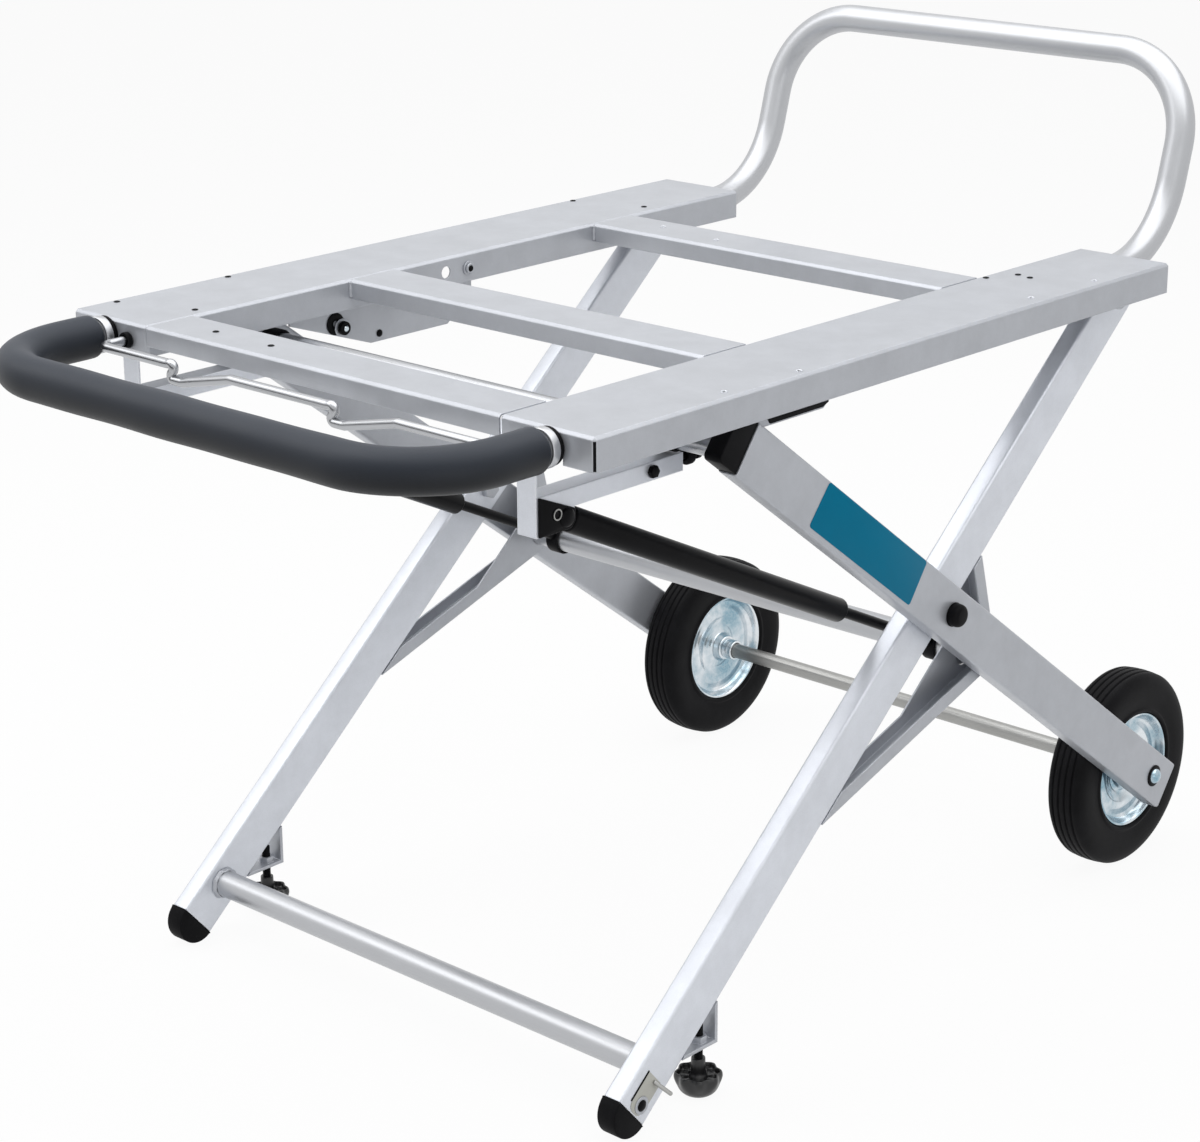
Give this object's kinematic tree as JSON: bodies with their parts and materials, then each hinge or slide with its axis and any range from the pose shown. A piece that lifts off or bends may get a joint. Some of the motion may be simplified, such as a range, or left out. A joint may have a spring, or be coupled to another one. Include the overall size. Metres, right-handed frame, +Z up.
{
  "type": "table saw stand",
  "caption": "Folding scissor-leg stand for a table saw, with an open deck, foam front grip, tube rear handle, two rear wheels, gas springs and levelling feet.",
  "frame": {"origin": "bottom centre of the part's box, on the floor", "axes": "+Z up, +X the stand's right side, +Y from the foam grip towards the rear handle"},
  "size_m": [0.6454, 1.0976, 0.8121],
  "materials": {
    "silver_paint": "satin silver paint",
    "bright_tube": "bright drawn tube",
    "chrome_wire": "bright chrome",
    "zinc_plate": "blue-white zinc plate",
    "black_plastic": "matte black",
    "black_rubber": "matte black",
    "tyre": "ribbed black rubber",
    "black_foam": "soft black foam",
    "black_enamel": "gloss black enamel"
  },
  "bodies": {
    "deck_frame": {"rail_left": "silver_paint", "rail_right": "silver_paint", "front_member": "silver_paint", "crossbar_front": "silver_paint", "crossbar_rear": "silver_paint", "track_bracket_left": "silver_paint", "track_bracket_right": "silver_paint", "side_plate_left": "silver_paint", "side_plate_right": "silver_paint", "hinge_bracket_left": "silver_paint", "hinge_bracket_right": "silver_paint", "hinge_pin_left": "zinc_plate", "hinge_pin_right": "zinc_plate", "grip_tube": "bright_tube", "grip_foam": "black_foam", "rear_handle": "bright_tube", "stop_bolt_left": "zinc_plate", "stop_bolt_right": "zinc_plate"},
    "foot_frame": {"foot_leg_left": "silver_paint", "foot_leg_right": "silver_paint", "foot_crossbar": "bright_tube", "gusset_left": "silver_paint", "gusset_right": "silver_paint", "gusset_tube": "bright_tube", "foot_cap_left": "black_rubber", "foot_cap_right": "black_rubber", "leg_top_plug_left": "black_plastic", "leg_top_plug_right": "black_plastic", "adjuster_bracket_left": "silver_paint", "adjuster_bracket_right": "silver_paint", "pivot_bolt_left": "zinc_plate", "pivot_bolt_right": "zinc_plate", "pivot_cap_left": "black_plastic", "pivot_cap_right": "black_plastic"},
    "wheel_frame": {"wheel_leg_left": "silver_paint", "wheel_leg_right": "silver_paint", "end_plug_left": "black_plastic", "end_plug_right": "black_plastic", "slide_bar": "bright_tube", "roller_left": "black_plastic", "roller_right": "black_plastic", "axle": "bright_tube", "axle_collar_left": "zinc_plate", "axle_collar_right": "zinc_plate", "axle_bolt_left": "zinc_plate", "axle_bolt_right": "zinc_plate"},
    "wheel_left": {"tyre_left": "tyre", "hub_left": "zinc_plate"},
    "wheel_right": {"tyre_right": "tyre", "hub_right": "zinc_plate"},
    "spring_rod_left": {"gas_rod_left": "black_enamel"},
    "spring_rod_right": {"gas_rod_right": "black_enamel"},
    "spring_cylinder_left": {"gas_cylinder_left": "black_enamel"},
    "spring_cylinder_right": {"gas_cylinder_right": "black_enamel"},
    "levelling_foot_left": {"adjuster_foot_left": "black_plastic"},
    "levelling_foot_right": {"adjuster_foot_right": "black_plastic"},
    "bail": {"release_bail": "chrome_wire"}
  },
  "joints": [
    {"name": "fold", "type": "hinge", "parent": "deck_frame", "child": "foot_frame", "pos_m": [0, 0.3576, 0.5993], "axis": [-1, 0, 0], "range_deg": [0, 25]},
    {"name": "crossing", "type": "hinge", "parent": "foot_frame", "child": "wheel_frame", "pos_m": [0, 0.08, 0.36385], "axis": [1, 0, 0], "range_deg": [0, 49]},
    {"name": "wheel_spin_left", "type": "hinge", "parent": "wheel_frame", "child": "wheel_left", "pos_m": [-0.2685, 0.43211, 0.1], "axis": [1, 0, 0], "continuous": true},
    {"name": "wheel_spin_right", "type": "hinge", "parent": "wheel_frame", "child": "wheel_right", "pos_m": [0.2685, 0.43211, 0.1], "axis": [1, 0, 0], "continuous": true},
    {"name": "spring_swing_left", "type": "hinge", "parent": "foot_frame", "child": "spring_rod_left", "pos_m": [-0.24, 0.15558, 0.2984], "axis": [1, 0, 0], "range_deg": [0, 33]},
    {"name": "spring_swing_right", "type": "hinge", "parent": "foot_frame", "child": "spring_rod_right", "pos_m": [0.24, 0.15558, 0.2984], "axis": [1, 0, 0], "range_deg": [0, 33]},
    {"name": "spring_stroke_left", "type": "slide", "parent": "spring_rod_left", "child": "spring_cylinder_left", "axis": [0, 0.9007, -0.4344], "range_m": [0, 0.1435]},
    {"name": "spring_stroke_right", "type": "slide", "parent": "spring_rod_right", "child": "spring_cylinder_right", "axis": [0, 0.9007, -0.4344], "range_m": [0, 0.1435]},
    {"name": "levelling_left", "type": "slide", "parent": "foot_frame", "child": "levelling_foot_left", "axis": [0, 0, 1], "range_m": [-0.01, 0.0045]},
    {"name": "levelling_right", "type": "slide", "parent": "foot_frame", "child": "levelling_foot_right", "axis": [0, 0, 1], "range_m": [-0.01, 0.0045]},
    {"name": "bail_pull", "type": "slide", "parent": "deck_frame", "child": "bail", "axis": [0, -1, 0], "range_m": [0, 0.015], "stiffness_N_per_m": 300, "springref_m": -0.01}
  ],
  "couplings": [
    {"joint": "crossing", "follows": "fold", "ratio": 1.9497},
    {"joint": "spring_swing_left", "follows": "fold", "ratio": 1.2999},
    {"joint": "spring_swing_right", "follows": "fold", "ratio": 1.2999},
    {"joint": "spring_stroke_left", "follows": "fold", "m_per_rad": 0.3282},
    {"joint": "spring_stroke_right", "follows": "fold", "m_per_rad": 0.3282}
  ]
}
